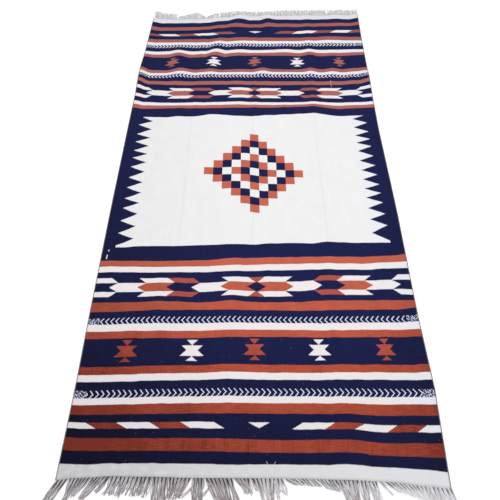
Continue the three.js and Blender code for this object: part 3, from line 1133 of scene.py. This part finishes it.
# The selvedges: along each side the weft turns back round a few doubled warp ends, which
# makes a thin grey-brown cord at the very edge.
CORD_RADIUS = 0.0017
CORD_STEP = 0.018
CORD_TWIST = 0.004
CORD_SHEEN = (0.95, 0.15)
CORD_RELIEF = (0.6, 0.0005)
CORD_BROWN = dyed(150, 138, 132), dyed(92, 80, 82)


def cord_cotton():
    material, surface, nodes = new_material("selvedge_cord")
    place = nodes.object_place()
    wear = nodes.noise(place, 60, 3)
    colour = wear.between(0.35, 0.65).blend(*CORD_BROWN)
    relief = (place.axis(1).waves(CORD_TWIST), *CORD_RELIEF)
    finish_surface(nodes, surface, colour, CORD_SHEEN, relief)
    return material


cord_finish = cord_cotton()
for name, side in (("left_selvedge", -1), ("right_selvedge", 1)):
    steps = round(CLOTH_LENGTH / CORD_STEP)
    strand = []
    for step in range(steps + 1):
        along = mix(FIRST_PICK, LAST_PICK, step / steps)
        edge = cloth_point(side * CLOTH_WIDTH / 2, along)
        lift = slack(edge.x, along) + CLOTH_THICKNESS / 2
        inwards = Vector((-side * CORD_RADIUS * 0.4, 0, max(lift, CORD_RADIUS)))
        strand.append((edge + inwards, 1))
    cord = strand_piece(name, [strand], CORD_RADIUS, 2)
    cord.data.materials.append(cord_finish)
    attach(cord, "root")


# Loose threads: a few ends of weft that have worked out of the weave and lie on it, two
# over the near end band and one near the far chain of hexagons.
THREAD_RADIUS = 0.0006
THREAD_WHITE = dyed(238, 236, 234), dyed(206, 203, 200)
LOOSE_THREADS = (
    ((0.046, 0.060), (0.050, 0.055), (0.051, 0.044), (0.049, 0.030), (0.052, 0.014)),
    ((0.076, 0.059), (0.073, 0.055), (0.071, 0.044), (0.073, 0.030), (0.070, 0.016)),
    ((0.405, 1.802), (0.407, 1.820), (0.404, 1.838), (0.406, 1.854)),
)


def thread_cotton():
    material, surface, nodes = new_material("loose_thread")
    fuzz = nodes.noise(nodes.object_place(), 900, 2)
    colour = fuzz.between(0.3, 0.7).blend(*THREAD_WHITE)
    finish_surface(nodes, surface, colour, CORD_SHEEN)
    return material


strands = []
for thread in LOOSE_THREADS:
    strand = []
    for across, along in thread:
        place = cloth_point(across, along)
        place.z += CLOTH_THICKNESS + slack(place.x, along) + THREAD_RADIUS
        strand.append((place, 1))
    strands.append(strand)
threads = strand_piece("loose_threads", strands, THREAD_RADIUS, 1)
threads.data.materials.append(thread_cotton())
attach(threads, "root")


# The floor: plain and pale, and not part of the rug.
FLOOR_SIDE = 14.0
FLOOR_DROP = 0.0003
FLOOR_WHITE = 0.98

mesh = bmesh.new()
bmesh.ops.create_grid(mesh, x_segments=1, y_segments=1, size=FLOOR_SIDE / 2)
bmesh.ops.translate(mesh, verts=mesh.verts, vec=(0, 0, -FLOOR_DROP))
floor = mesh_object("floor", mesh)
paint, surface, nodes = new_material("pale_floor")
surface.inputs["Base Color"].default_value = (FLOOR_WHITE, FLOOR_WHITE, FLOOR_WHITE, 1)
surface.inputs["Roughness"].default_value = 0.9
surface.inputs["Specular IOR Level"].default_value = 0.1
floor.data.materials.append(paint)


# The studio: an even white sky, one large soft light, and the camera of the photograph,
# which looks down along the rug from above its near end.
SKY_STRENGTH = 0.66
LAMP_POWER = 140.0
LAMP_SIZE = 4.5
LAMP_PLACE = (0.3, 0.2, 4.6)
CAMERA_PLACE = (-0.0030, -1.2022, 1.4506)
CAMERA_TURN = (29.397, 1.042, 1.117)
CAMERA_SENSOR = 36.0
CAMERA_LENS = 29.24
CAMERA_SHIFT = (0.0156, -0.0040)

sky = bpy.data.worlds.new("sky")
sky.use_nodes = True
glow = sky.node_tree.nodes["Background"].inputs
glow["Color"].default_value = (1, 1, 1, 1)
glow["Strength"].default_value = SKY_STRENGTH
bpy.context.scene.world = sky
bpy.context.scene.view_settings.view_transform = "Standard"

lamp = bpy.data.lights.new("soft_lamp", "AREA")
lamp.shape = "DISK"
lamp.size = LAMP_SIZE
lamp.energy = LAMP_POWER
lamp_stand = put_in_scene("soft_lamp", lamp)
lamp_stand.location = LAMP_PLACE
lamp_stand.rotation_euler = Vector(LAMP_PLACE).to_track_quat("Z", "Y").to_euler()

lens = bpy.data.cameras.new("camera")
lens.sensor_width = CAMERA_SENSOR
lens.lens = CAMERA_LENS
lens.shift_x, lens.shift_y = CAMERA_SHIFT
camera = put_in_scene("camera", lens)
camera.location = CAMERA_PLACE
camera.rotation_euler = [math.radians(angle) for angle in CAMERA_TURN]
bpy.context.scene.camera = camera
